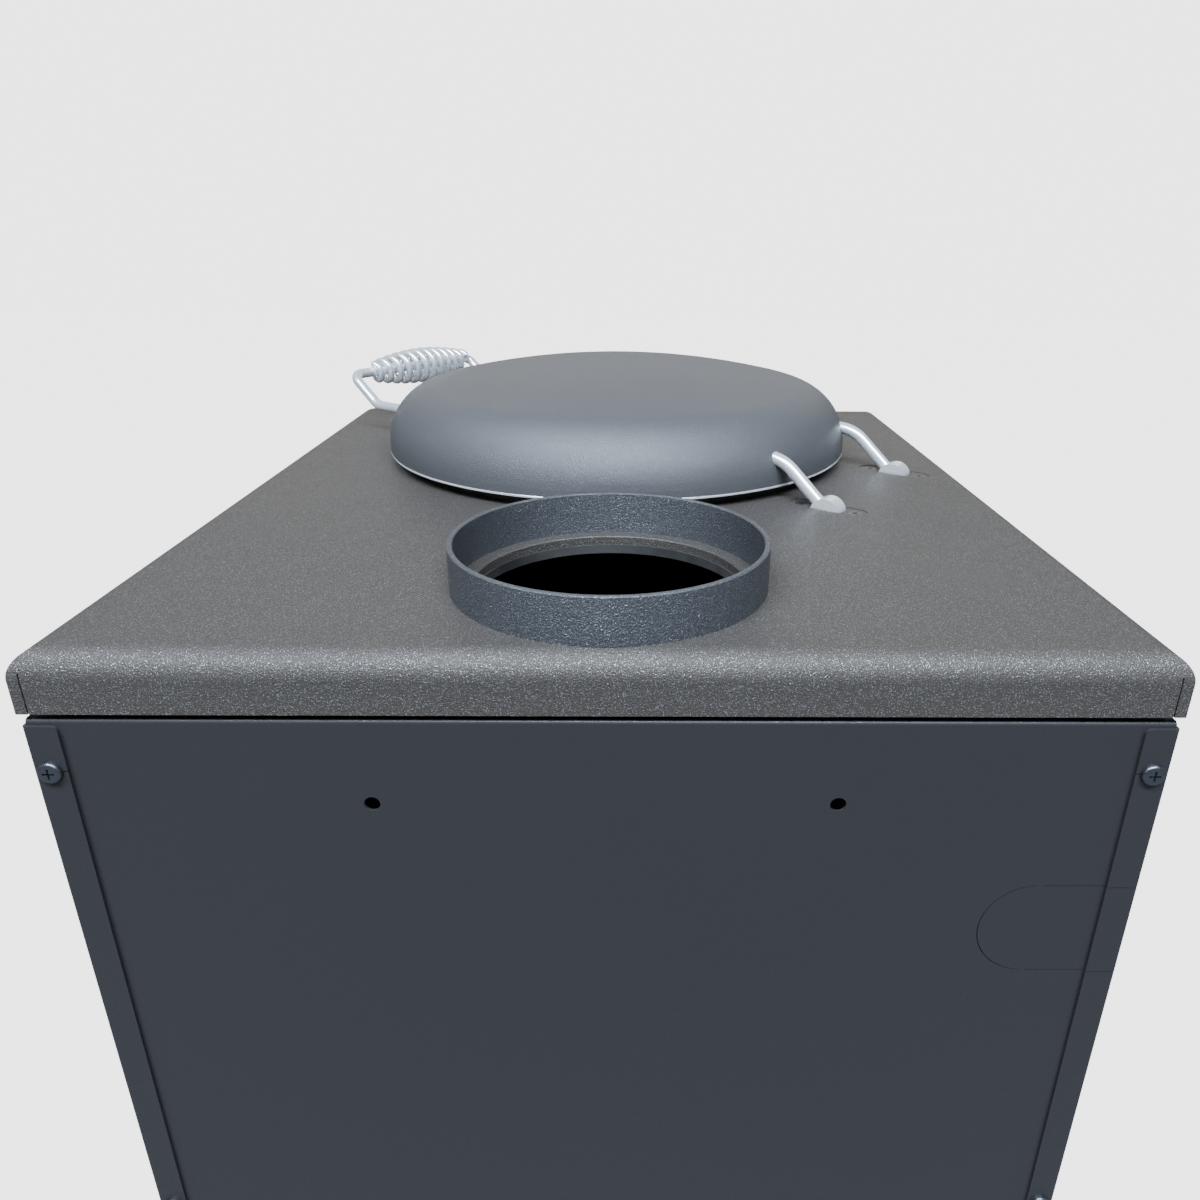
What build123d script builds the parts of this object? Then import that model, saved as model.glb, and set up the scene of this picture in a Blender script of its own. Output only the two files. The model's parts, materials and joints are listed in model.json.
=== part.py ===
from build123d import *

import os
from math import atan2, cos, degrees, pi, radians, sin, sqrt, tan

os.makedirs("parts", exist_ok=True)

# A small steel garden stove with a cooking lid, standing on z = 0 with its door towards -Y.
# Sizes are millimetres. Heights named "drop" or "lift" are measured from the top surface.

# ---- Driving dimensions: cabinet ----
top_width = 498.0
top_depth = 552.0
top_height = 720.0
top_thickness = 5.0
flange_height = 28.0
top_bend_radius = 12.0
top_corner_radius = 12.5
flange_slit = 0.7
flange_slit_drop = 9.0

casing_side_gap = 0.5
casing_sheet = 1.5
casing_drop = 34.0
casing_return = 15.0
casing_front_return = 18.0
casing_bend_radius = 2.0
return_corner_radius = 3.0
back_panel_drop = 31.0
back_panel_lip = 12.0
casing_screw_inset = 7.7
casing_screw_drop = 56.3
casing_screw_rows = 3
casing_screw_foot = 40.0
relief_slit = 0.6
fit_clearance = 0.3

wall_hole_radius = 3.65
wall_hole_spacing = 208.0
wall_hole_drop = 73.8

knockout_height = 51.0
knockout_drop = 144.4
knockout_inset = 45.8
knockout_reach = 40.0
kerf = 0.4
kerf_tab = 2.5

plinth_height = 60.0
plinth_sheet = 3.0
plinth_side_setback = 24.0
plinth_front_setback = 44.0
plinth_rear_setback = 20.0
floor_sheet = 3.0

front_setback = 14.0
front_sheet = 6.0
front_side_gap = 5.0
front_screw_inset = 12.0
front_screw_rows = 4

# ---- Driving dimensions: fire chamber ----
firebox_width = 380.0
firebox_drop = 130.0
firebox_wall = 4.0
firebox_rear_gap = 75.0
shelf_top = 200.0
smoke_box_width = 344.0
smoke_box_rear_gap = 14.0
flue_path_length = 120.0
brick_thickness = 25.0
brick_drop = 42.0
baffle_thickness = 10.0
baffle_front_gap = 70.0
grate_width = 262.0
grate_depth = 212.0
grate_thickness = 12.0
grate_ledge = 6.0
grate_bars = 13
grate_bar_gap = 9.0
log_guard_height = 35.0
log_guard_thickness = 10.0
shield_sheet = 1.0
shield_rear_gap = 10.0
shield_side_gap = 33.5
shield_foot = 110.0
shield_drop = 40.0

# ---- Driving dimensions: fire door ----
door_opening_width = 320.0
door_opening_foot = 232.0
door_opening_drop = 160.0
door_overlap = 22.0
door_thickness = 18.0
door_gap = 0.8
window_side_margin = 37.0
window_margin = 44.0
window_bevel = 8.0
glass_thickness = 4.0
glass_overlap = 12.0
glass_rebate = 6.5
clip_sheet = 1.5
clip_width = 16.0
clip_length = 15.0
door_rope_radius = 4.0
door_hinge_offset = 11.0
door_hinge_radius = 8.0
door_pin_radius = 4.0
door_hinge_barrel = 22.0
door_hinge_inset = 55.0
running_clearance = 0.05
handle_inset = 14.0
handle_shaft_radius = 6.0
handle_hub_radius = 13.0
handle_hub_length = 16.0
handle_rod_radius = 4.2
handle_rod_standoff = 30.0
handle_rod_length = 98.0
handle_rod_bend = 10.0
latch_length = 34.0
latch_width = 14.0
latch_thickness = 6.0
latch_clearance = 1.5

# ---- Driving dimensions: ash drawer and air control ----
ash_opening_width = 260.0
ash_opening_head = 160.0
ash_side_gap = 6.0
ash_depth = 400.0
ash_height = 80.0
ash_sheet = 2.0
ash_front_overlap = 10.0
ash_front_thickness = 5.0
knob_radius = 13.0
knob_stem_radius = 4.0
knob_stem_length = 12.0
air_slide_z = 190.0
air_slide_width = 210.0
air_slide_height = 20.0
air_slide_sheet = 3.0
air_slide_travel = 26.0
air_slots = 4
air_slot_pitch = 48.0
air_slot_length = 22.0
air_slot_height = 9.0
air_guide_lip = 3.0
air_guide_length = 250.0

# ---- Driving dimensions: flue collar, hotplate and cooking lid ----
collar_rear_gap = 9.5
collar_wall = 2.9
collar_bore_radius = 76.5
collar_height = 23.0
collar_screw_radius = 2.0
collar_screw_lift = 6.5
flue_seat = 8.0
flue_ring_wall = 2.7
flue_ring_step = 0.7
flue_hole_chamfer = 0.5
flue_ring_height = 5.0

lid_rear_gap = 376.0
lid_azimuth = 36.0
hotplate_lip_inset = 12.2
hotplate_lip = 6.5
hotplate_seat = 7.0
hotplate_depth = 14.0
hotplate_clearance = 1.5
lid_radius = 174.2
lid_height = 71.0
lid_wall = 2.5
crown_radius = 610.0
shoulder_radius = 42.0
liner_sheet = 2.0
liner_edge = 0.8
liner_gap = 7.0
liner_slope = 12.0
liner_crown_lift = 34.0
lid_rod_depth = 25.2
lid_boss_radius = 8.0
hinge_rod_radius = 4.2
hinge_rod_lift = 26.5
hinge_rod_angle = 41.0
hinge_rod_bend = 28.0
hinge_reach = 29.1
hinge_offset = 8.7
hinge_spacing = 114.0
hinge_drop = 3.4
hinge_barrel_radius = 10.0
hinge_barrel_length = 12.0
hinge_pin_radius = 2.0
insert_length = 52.0
insert_width = 16.0
insert_recess = 0.4
insert_screw_inset = 7.4
block_length = 60.0
block_width = 26.0
block_depth = 18.0
bail_rod_radius = 4.0
bail_rod_lift = 22.0
bail_straight = 27.5
bail_rise = 29.0
bail_lift = 44.5
bail_rear_half = 70.0
bail_front_half = 66.5
bail_bends = [14.0, 9.0, 5.5, 14.0]
grip_offset = 5.0
grip_wire = 5.0
grip_coils = 15
door_grip_coils = 10
grip_pitch = 7.6
grip_end_radius = 6.8
grip_middle_radius = 13.0

# ---- Fasteners ----
pan_head_radius = 5.25
pan_head_height = 2.4
pan_shank_radius = 2.0
pan_shank_length = 9.0
csk_head_radius = 4.2
csk_head_height = 2.2
csk_shank_length = 12.0
clip_screw_radius = 3.5
clip_screw_head = 2.0
clip_screw_length = 5.0
cross_width = 0.9
cross_depth = 1.2

# ---- Places worked out from the driving dimensions ----
door_front_gap = door_gap + door_thickness
handle_grip_radius = grip_middle_radius + grip_wire / 2
handle_projection = door_front_gap + handle_rod_standoff + handle_grip_radius
front_projection = handle_projection - front_setback
rear_y = (top_depth + front_projection - pan_head_height) / 2
top_front_y = rear_y - top_depth
front_face_y = top_front_y + front_setback
front_back_y = front_face_y + front_sheet
top_under = top_height - top_thickness
casing_top = top_height - casing_drop
casing_x = top_width / 2 - casing_side_gap
knockout_centre_x = casing_x - knockout_inset
shield_width = 2 * (casing_x - shield_side_gap)
shield_head = top_height - shield_drop
firebox_top = top_height - firebox_drop
brick_top = firebox_top - brick_drop
door_opening_head = top_height - door_opening_drop
window_width = door_opening_width - 2 * window_side_margin
window_foot = door_opening_foot + window_margin
window_head = door_opening_head - window_margin
ash_width = ash_opening_width - 2 * ash_side_gap
collar_radius = collar_bore_radius + collar_wall
flue_y = rear_y - collar_rear_gap - collar_radius
flue_hole_radius = collar_bore_radius - flue_seat
flue_ring_bore = flue_hole_radius - flue_ring_step
flue_ring_radius = flue_ring_bore + flue_ring_wall
hotplate_lip_radius = lid_radius - hotplate_lip_inset
hotplate_body_radius = hotplate_lip_radius - hotplate_seat
liner_mouth_radius = hotplate_body_radius - liner_gap
liner_crown_radius = liner_mouth_radius - liner_slope
lid_rod_root = lid_radius - lid_rod_depth
hinge_distance = lid_radius + hinge_reach
bail_elbow = lid_radius + bail_straight
bail_reach = bail_elbow + bail_rise
cabinet_floor = plinth_height + floor_sheet
back_panel_y = rear_y - casing_sheet
lid_y = rear_y - lid_rear_gap
firebox_rear_y = rear_y - firebox_rear_gap
smoke_box_rear_y = rear_y - smoke_box_rear_gap
fire_x = firebox_width / 2 - firebox_wall
fire_rear_y = firebox_rear_y - firebox_wall
hearth_top = shelf_top + brick_thickness
lid_bottom = hotplate_lip + fit_clearance + liner_sheet
door_width = door_opening_width + 2 * door_overlap
door_foot = door_opening_foot - door_overlap
door_head = door_opening_head + door_overlap
door_z = (door_foot + door_head) / 2
handle_z = door_z
handle_x = door_opening_width / 2 - handle_inset
door_back_y = front_face_y - door_gap
door_front_y = front_face_y - door_front_gap
screw_x = casing_x - casing_screw_inset

UP = Vector(0, 0, 1)
hinge_side = Vector(-cos(radians(lid_azimuth)), sin(radians(lid_azimuth)), 0)
along_hinge = Vector(-sin(radians(lid_azimuth)), -cos(radians(lid_azimuth)), 0)
lid_axis = Axis((0, lid_y, 0), (0, 0, 1))
lid_section = Plane(origin=(0, lid_y, top_height), x_dir=hinge_side, z_dir=hinge_side.cross(UP))
hinge_places = {
    "rear": hinge_offset - hinge_spacing / 2,
    "front": hinge_offset + hinge_spacing / 2,
}


def lid_point(reach, across, lift):
    """A point by its reach towards the lid hinge, its place along the hinge and its lift."""
    return Vector(0, lid_y, top_height) + hinge_side * reach + along_hinge * across + UP * lift


def lid_level(reach, across, lift):
    """A level plane at such a point, its x towards the hinge."""
    return Plane(origin=lid_point(reach, across, lift), x_dir=hinge_side, z_dir=UP)


def across_plane(reach, across, lift):
    """A plane at such a point, facing along the hinge."""
    return Plane(origin=lid_point(reach, across, lift), x_dir=hinge_side, z_dir=along_hinge)


def block(x_span, y_span, z_span, mode=Mode.ADD):
    """A box between two coordinates on each axis, in the part being built."""
    spans = (x_span, y_span, z_span)
    with Locations(tuple((low + high) / 2 for low, high in spans)):
        Box(*(high - low for low, high in spans), mode=mode)


def sheet(half_width, y_span, z_span, mode=Mode.ADD):
    """A box that is centred on x = 0."""
    block((-half_width, half_width), y_span, z_span, mode)


def rows(low, high, count):
    """Evenly spaced values from low to high."""
    return [low + (high - low) * step / (count - 1) for step in range(count)]


# ---- Screws, made once at the origin with their heads upwards ----
with BuildPart() as pan_screw:
    Cylinder(pan_head_radius, pan_head_height, align=(Align.CENTER, Align.CENTER, Align.MIN))
    fillet(pan_screw.edges().group_by(Axis.Z)[-1], radius=pan_head_height * 0.7)
    Cylinder(pan_shank_radius, pan_shank_length, align=(Align.CENTER, Align.CENTER, Align.MAX))
    with Locations((0, 0, pan_head_height)):
        Box(cross_width, pan_head_radius, 2 * cross_depth, mode=Mode.SUBTRACT)
        Box(pan_head_radius, cross_width, 2 * cross_depth, mode=Mode.SUBTRACT)

with BuildPart() as csk_screw:
    with Locations((0, 0, -csk_head_height)):
        Cone(
            pan_shank_radius,
            csk_head_radius,
            csk_head_height,
            align=(Align.CENTER, Align.CENTER, Align.MIN),
        )
    Cylinder(pan_shank_radius, csk_shank_length, align=(Align.CENTER, Align.CENTER, Align.MAX))
    Box(cross_width, csk_head_radius, 2 * cross_depth, mode=Mode.SUBTRACT)
    Box(csk_head_radius, cross_width, 2 * cross_depth, mode=Mode.SUBTRACT)

with BuildPart() as clip_screw:
    Cylinder(clip_screw_radius, clip_screw_head, align=(Align.CENTER, Align.CENTER, Align.MIN))
    Cylinder(pan_shank_radius, clip_screw_length, align=(Align.CENTER, Align.CENTER, Align.MAX))
    with Locations((0, 0, clip_screw_head)):
        Box(cross_width, clip_screw_radius, cross_depth, mode=Mode.SUBTRACT)
        Box(clip_screw_radius, cross_width, cross_depth, mode=Mode.SUBTRACT)


# ---- Top plate: steel folded down on four sides ----
def folded_top(inset, foot):
    """A block with the outline of the folded top, set in from its outer skin."""
    with BuildPart() as body:
        with BuildSketch(Plane.XY.offset(foot)):
            with Locations((0, rear_y - top_depth / 2)):
                Rectangle(top_width - 2 * inset, top_depth - 2 * inset)
        extrude(amount=top_height - inset - foot)
        front_corners = body.edges().filter_by(Axis.Z).group_by(Axis.Y)[0]
        fillet(front_corners, radius=top_corner_radius - inset)
        fillet(body.faces().sort_by(Axis.Z)[-1].edges(), radius=top_bend_radius - inset)
    return body.part


flange_foot = top_height - flange_height
with BuildPart() as top_plate:
    add(folded_top(0, flange_foot))
    add(folded_top(top_thickness, flange_foot), mode=Mode.SUBTRACT)
    with BuildSketch(Plane.XY.offset(top_height)):
        with Locations((0, flue_y)):
            Circle(flue_hole_radius)
        with Locations((0, lid_y)):
            Circle(hotplate_body_radius + hotplate_clearance)
    extrude(amount=-top_thickness, mode=Mode.SUBTRACT)
    with BuildSketch(Plane.XY.offset(top_height)):
        with Locations((0, flue_y)):
            Circle(flue_hole_radius + flue_hole_chamfer)
    extrude(amount=-flue_hole_chamfer, taper=45, mode=Mode.SUBTRACT)
    for across in hinge_places.values():
        with BuildSketch(lid_level(hinge_distance, across, 0)):
            SlotOverall(insert_length + fit_clearance, insert_width + fit_clearance)
        extrude(amount=-top_thickness, mode=Mode.SUBTRACT)
    for side in (-1, 1):
        slit_x = side * (top_width / 2 - top_thickness - flange_slit / 2)
        block(
            (slit_x - flange_slit / 2, slit_x + flange_slit / 2),
            (rear_y - top_thickness, rear_y),
            (flange_foot, top_height - flange_slit_drop),
            mode=Mode.SUBTRACT,
        )
top_plate.part.label = "top_plate"
export_step(top_plate.part, "parts/top_plate.step")

# ---- Flue collar, and the ring round the flue hole under the top ----
with BuildPart() as flue_collar:
    with BuildSketch(Plane.XY.offset(top_height)):
        with Locations((0, flue_y)):
            Circle(collar_radius)
            Circle(collar_bore_radius, mode=Mode.SUBTRACT)
    extrude(amount=collar_height)
    chamfer(flue_collar.edges().group_by(Axis.Z)[-1], length=0.5)
    with BuildSketch(Plane.YZ):
        with Locations((flue_y, top_height + collar_screw_lift)):
            Circle(collar_screw_radius)
    extrude(amount=collar_radius, both=True, mode=Mode.SUBTRACT)
flue_collar.part.label = "flue_collar"
export_step(flue_collar.part, "parts/flue_collar.step")

with BuildPart() as flue_ring:
    with BuildSketch(Plane.XY.offset(top_under)):
        with Locations((0, flue_y)):
            Circle(flue_ring_radius)
            Circle(flue_ring_bore, mode=Mode.SUBTRACT)
    extrude(amount=-flue_ring_height)
flue_ring.part.label = "flue_ring"
export_step(flue_ring.part, "parts/flue_ring.step")

# ---- Hotplate: a cast disc with a lip that stands on the top plate over a rope ----
rope_outer_radius = hotplate_lip_radius - 1.5
rope_inner_radius = hotplate_body_radius + hotplate_clearance + 0.5
rope_height = 3.0
with BuildPart() as hotplate:
    with BuildSketch(Plane.XY.offset(top_height)):
        with Locations((0, lid_y)):
            Circle(hotplate_lip_radius)
    extrude(amount=hotplate_lip)
    fillet(hotplate.edges().group_by(Axis.Z)[-1], radius=1.5)
    with BuildSketch(Plane.XY.offset(top_height)):
        with Locations((0, lid_y)):
            Circle(hotplate_body_radius)
    extrude(amount=-hotplate_depth)
    with BuildSketch(Plane.XY.offset(top_height)):
        with Locations((0, lid_y)):
            Circle(rope_outer_radius)
            Circle(hotplate_body_radius, mode=Mode.SUBTRACT)
    extrude(amount=rope_height + fit_clearance, mode=Mode.SUBTRACT)
hotplate.part.label = "hotplate"
export_step(hotplate.part, "parts/hotplate.step")

with BuildPart() as hotplate_rope:
    with BuildSketch(Plane.XY.offset(top_height + fit_clearance)):
        with Locations((0, lid_y)):
            Circle(rope_outer_radius - fit_clearance)
            Circle(rope_inner_radius, mode=Mode.SUBTRACT)
    extrude(amount=rope_height - fit_clearance)
hotplate_rope.part.label = "hotplate_rope"
export_step(hotplate_rope.part, "parts/hotplate_rope.step")

# ---- Lid hinge: an insert and a block under each slot, which trap the pin ----
pocket_length = 2 * hinge_barrel_radius + 2.4
pocket_width = hinge_barrel_length + 0.5
pocket_floor = hinge_drop + hinge_barrel_radius + 1.6
insert_screw_reach = insert_length / 2 - insert_screw_inset

for place, across in hinge_places.items():
    screw_spots = [(-insert_screw_reach, 0), (insert_screw_reach, 0)]
    with BuildPart() as hinge_insert:
        with BuildSketch(lid_level(hinge_distance, across, -top_thickness)):
            SlotOverall(insert_length, insert_width)
            Rectangle(pocket_length, pocket_width, mode=Mode.SUBTRACT)
        extrude(amount=top_thickness - insert_recess)
        with BuildSketch(across_plane(hinge_distance, across, -hinge_drop)):
            Circle(hinge_pin_radius)
        extrude(amount=insert_width, both=True, mode=Mode.SUBTRACT)
        with Locations(lid_level(hinge_distance, across, -insert_recess)):
            with Locations(*screw_spots):
                CounterSinkHole(pan_shank_radius, csk_head_radius, counter_sink_angle=90)
    hinge_insert.part.label = f"hinge_insert_{place}"
    export_step(hinge_insert.part, f"parts/hinge_insert_{place}.step")

    with BuildPart() as hinge_block:
        with BuildSketch(lid_level(hinge_distance, across, -top_thickness)):
            SlotOverall(block_length, block_width)
        extrude(amount=top_thickness - block_depth)
        with BuildSketch(lid_level(hinge_distance, across, -top_thickness)):
            Rectangle(pocket_length, pocket_width)
        extrude(amount=top_thickness - pocket_floor, mode=Mode.SUBTRACT)
        with BuildSketch(across_plane(hinge_distance, across, -hinge_drop)):
            Circle(hinge_pin_radius)
        extrude(amount=insert_width, both=True, mode=Mode.SUBTRACT)
        with BuildSketch(lid_level(hinge_distance, across, -top_thickness)):
            with Locations(*screw_spots):
                Circle(pan_shank_radius)
        extrude(amount=top_thickness - block_depth, mode=Mode.SUBTRACT)
    hinge_block.part.label = f"hinge_block_{place}"
    export_step(hinge_block.part, f"parts/hinge_block_{place}.step")

with BuildPart() as lid_hinge_pins:
    for across in hinge_places.values():
        with BuildSketch(across_plane(hinge_distance, across, -hinge_drop)):
            Circle(hinge_pin_radius)
        extrude(amount=insert_width / 2 - fit_clearance, both=True)
lid_hinge_pins.part.label = "lid_hinge_pins"
export_step(lid_hinge_pins.part, "parts/lid_hinge_pins.step")

with BuildPart() as insert_screws:
    for across in hinge_places.values():
        for reach in (-insert_screw_reach, insert_screw_reach):
            with Locations(lid_level(hinge_distance + reach, across, -insert_recess)):
                add(csk_screw.part)
insert_screws.part.label = "insert_screws"
export_step(insert_screws.part, "parts/insert_screws.step")

# ---- Hinge arms: a bent rod welded to a bored barrel ----
arm_elbow = hinge_distance - (hinge_rod_lift + hinge_drop) / tan(radians(hinge_rod_angle))
lid_rods = []
for place, across in hinge_places.items():
    with BuildPart() as hinge_arm:
        with BuildLine() as arm_path:
            FilletPolyline(
                lid_point(lid_rod_root, across, hinge_rod_lift),
                lid_point(arm_elbow, across, hinge_rod_lift),
                lid_point(hinge_distance, across, -hinge_drop),
                radius=hinge_rod_bend,
            )
        with BuildSketch(Plane(origin=arm_path.line @ 0, z_dir=arm_path.line % 0)):
            Circle(hinge_rod_radius)
        sweep()
        with BuildSketch(across_plane(hinge_distance, across, -hinge_drop)):
            Circle(hinge_barrel_radius)
        extrude(amount=hinge_barrel_length / 2, both=True)
        with BuildSketch(across_plane(hinge_distance, across, -hinge_drop)):
            Circle(hinge_pin_radius + running_clearance)
        extrude(amount=hinge_barrel_length / 2, both=True, mode=Mode.SUBTRACT)
    hinge_arm.part.label = f"hinge_arm_{place}"
    export_step(hinge_arm.part, f"parts/hinge_arm_{place}.step")
    lid_rods.append(hinge_arm.part)

# ---- Lid handle: one rod bent into a bail, with a coiled grip ----
with BuildPart() as lid_handle:
    with BuildLine() as bail_path:
        FilletPolyline(
            lid_point(-lid_rod_root, -bail_rear_half, bail_rod_lift),
            lid_point(-bail_elbow, -bail_rear_half, bail_rod_lift),
            lid_point(-bail_reach, -bail_rear_half, bail_lift),
            lid_point(-bail_reach, bail_front_half, bail_lift),
            lid_point(-bail_elbow, bail_front_half, bail_rod_lift),
            lid_point(-lid_rod_root, bail_front_half, bail_rod_lift),
            radius=bail_bends,
        )
    with BuildSketch(Plane(origin=bail_path.line @ 0, z_dir=bail_path.line % 0)):
        Circle(bail_rod_radius)
    sweep()
lid_handle.part.label = "lid_handle"
export_step(lid_handle.part, "parts/lid_handle.step")
lid_rods.append(lid_handle.part)


def coil_radius(place):
    """The radius of the coil's centre line, place running from -1 to 1 along the grip."""
    return grip_end_radius + (grip_middle_radius - grip_end_radius) * cos(place * pi / 2)


def coil_grip(section, coils, bore_radius):
    """A barrel-shaped grip of touching turns round the x axis of its section plane."""
    half = (coils - 1) / 2
    turns = [(step - half) for step in range(coils)]
    spots = [(turn * grip_pitch, coil_radius(turn / half)) for turn in turns]
    with BuildPart() as grip:
        with BuildSketch(section):
            with Locations(*spots):
                Circle(grip_wire / 2)
            with BuildLine():
                Polyline(
                    (spots[0][0], bore_radius),
                    *spots,
                    (spots[-1][0], bore_radius),
                    close=True,
                )
            make_face()
        revolve(axis=Axis(section.origin, section.x_dir))
    return grip.part


grip_place = Plane(
    origin=lid_point(-bail_reach, grip_offset, bail_lift), x_dir=along_hinge, z_dir=hinge_side
)
with BuildPart() as lid_grip:
    add(coil_grip(grip_place, grip_coils, bail_rod_radius))
lid_grip.part.label = "lid_grip"
export_step(lid_grip.part, "parts/lid_grip.step")

# ---- Cooking lid: shell, liner and insulation, round its own upright axis ----
crown_z = lid_height - crown_radius
shoulder_x = lid_radius - shoulder_radius
shoulder_z = crown_z + sqrt((crown_radius - shoulder_radius) ** 2 - shoulder_x**2)
shoulder_angle = degrees(atan2(shoulder_z - crown_z, shoulder_x))


def dome(inset, foot):
    """The solid dome, its skin set in and its foot cut level."""
    wall_x = lid_radius - inset
    with BuildPart() as body:
        with BuildSketch(lid_section):
            with BuildLine():
                Line((0, foot), (wall_x, foot))
                Line((wall_x, foot), (wall_x, shoulder_z))
                CenterArc((shoulder_x, shoulder_z), shoulder_radius - inset, 0, shoulder_angle)
                CenterArc((0, crown_z), crown_radius - inset, shoulder_angle, 90 - shoulder_angle)
                Line((0, lid_height - inset), (0, foot))
            make_face()
        revolve(axis=lid_axis)
    return body.part


rod_places = [(1, across, hinge_rod_lift) for across in hinge_places.values()]
rod_places += [(-1, across, bail_rod_lift) for across in (-bail_rear_half, bail_front_half)]

with BuildPart() as lid_bosses:
    for side, across, lift in rod_places:
        root = lid_point(side * (lid_rod_root - 4), across, lift)
        with BuildSketch(Plane(origin=root, z_dir=hinge_side * side)):
            Circle(lid_boss_radius)
        extrude(amount=lid_radius - lid_rod_root)
    add(dome(lid_wall / 2, lid_bottom), mode=Mode.INTERSECT)

with BuildPart() as lid_shell:
    add(dome(0, lid_bottom))
    add(dome(lid_wall, lid_bottom), mode=Mode.SUBTRACT)
    add(lid_bosses.part)
    for rod in lid_rods:
        add(rod, mode=Mode.SUBTRACT)
lid_shell.part.label = "lid_shell"
export_step(lid_shell.part, "parts/lid_shell.step")

liner_foot = lid_bottom - liner_sheet
with BuildPart() as lid_liner:
    with BuildSketch(lid_section):
        with BuildLine():
            Polyline(
                (lid_radius, liner_foot),
                (liner_mouth_radius, liner_foot),
                (liner_crown_radius, liner_crown_lift),
                (0, liner_crown_lift),
                (0, liner_crown_lift + liner_sheet),
                (liner_crown_radius + liner_sheet, liner_crown_lift + liner_sheet),
                (liner_mouth_radius + liner_sheet, lid_bottom),
                (lid_radius, lid_bottom),
                close=True,
            )
        make_face()
    revolve(axis=lid_axis)
    fillet(lid_liner.edges().filter_by(GeomType.CIRCLE).group_by(SortBy.RADIUS)[-1], radius=liner_edge)
lid_liner.part.label = "lid_liner"
export_step(lid_liner.part, "parts/lid_liner.step")

with BuildPart() as lid_insulation:
    add(dome(lid_wall + fit_clearance, lid_bottom))
    with BuildSketch(Plane.XY.offset(top_height + liner_crown_lift + liner_sheet + fit_clearance)):
        with Locations((0, lid_y)):
            Circle(liner_crown_radius)
    extrude(amount=lid_height, mode=Mode.INTERSECT)
lid_insulation.part.label = "lid_insulation"
export_step(lid_insulation.part, "parts/lid_insulation.step")

# ---- Casing: side panels that wrap on to the back, and the back panel ----
screw_rows = rows(plinth_height + casing_screw_foot, top_height - casing_screw_drop, casing_screw_rows)
knockout_z = top_height - knockout_drop
tab_spots = [(-knockout_centre_x, knockout_height / 2), (-knockout_centre_x, -knockout_height / 2)]

for name, side in (("left", -1), ("right", 1)):
    outer_x = side * casing_x
    inner_x = side * (casing_x - casing_sheet)
    with BuildPart() as side_panel:
        web = sorted((inner_x, outer_x))
        rear_return = sorted((side * (casing_x - casing_return), outer_x))
        front_return = sorted((side * (casing_x - casing_front_return), outer_x))
        height = (plinth_height, casing_top)
        block(web, (front_back_y, rear_y), height)
        block(rear_return, (rear_y - casing_sheet, rear_y), height)
        block(front_return, (front_back_y, front_back_y + casing_sheet), height)
        corner = side_panel.edges().filter_by(Axis.Z).sort_by_distance((outer_x, rear_y, casing_top))
        fillet(corner[0], radius=casing_bend_radius)
        tip = (side * (casing_x - casing_return), rear_y, casing_top)
        top_corner = side_panel.edges().filter_by(Axis.Y).sort_by_distance(tip)
        fillet(top_corner[0], radius=return_corner_radius)
        with BuildSketch(Plane.XZ.offset(-rear_y)):
            with Locations(*[(side * screw_x, z) for z in screw_rows]):
                Circle(pan_shank_radius)
            slit_x = side * (screw_x + casing_x - casing_return) / 2
            with Locations((slit_x, screw_rows[-1])):
                Rectangle(screw_x - casing_x + casing_return, relief_slit)
        extrude(amount=casing_sheet, mode=Mode.SUBTRACT)
        if side < 0:
            # The knock-out runs round the corner: across the return, then over the web.
            with BuildSketch(Plane.XZ.offset(-rear_y)):
                for lift in (-knockout_height / 2, knockout_height / 2):
                    with Locations((side * (casing_x - casing_return / 2), knockout_z + lift)):
                        Rectangle(casing_return, kerf)
            extrude(amount=casing_bend_radius + casing_sheet, mode=Mode.SUBTRACT)
            with BuildSketch(Plane.YZ.offset(outer_x)):
                with Locations((rear_y - knockout_reach / 2, knockout_z)):
                    Rectangle(knockout_reach + kerf, knockout_height + kerf)
                    Rectangle(knockout_reach - kerf, knockout_height - kerf, mode=Mode.SUBTRACT)
                for lift in (-knockout_height / 2, knockout_height / 2):
                    with Locations((rear_y - knockout_reach / 2, knockout_z + lift)):
                        Rectangle(kerf_tab, 2 * kerf, mode=Mode.SUBTRACT)
                with Locations((rear_y, knockout_z)):
                    Rectangle(2 * kerf, knockout_height - kerf, mode=Mode.SUBTRACT)
            extrude(amount=casing_sheet, mode=Mode.SUBTRACT)
        with BuildSketch(Plane.XZ.offset(-front_back_y - casing_sheet)):
            front_rows = rows(
                plinth_height + front_screw_inset,
                casing_top - front_screw_inset,
                front_screw_rows,
            )
            front_row_x = side * (casing_x - front_side_gap - front_screw_inset / 2)
            with Locations(*[(front_row_x, z) for z in front_rows]):
                Circle(pan_shank_radius)
        extrude(amount=casing_sheet, mode=Mode.SUBTRACT)
    side_panel.part.label = f"side_panel_{name}"
    export_step(side_panel.part, f"parts/side_panel_{name}.step")

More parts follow.
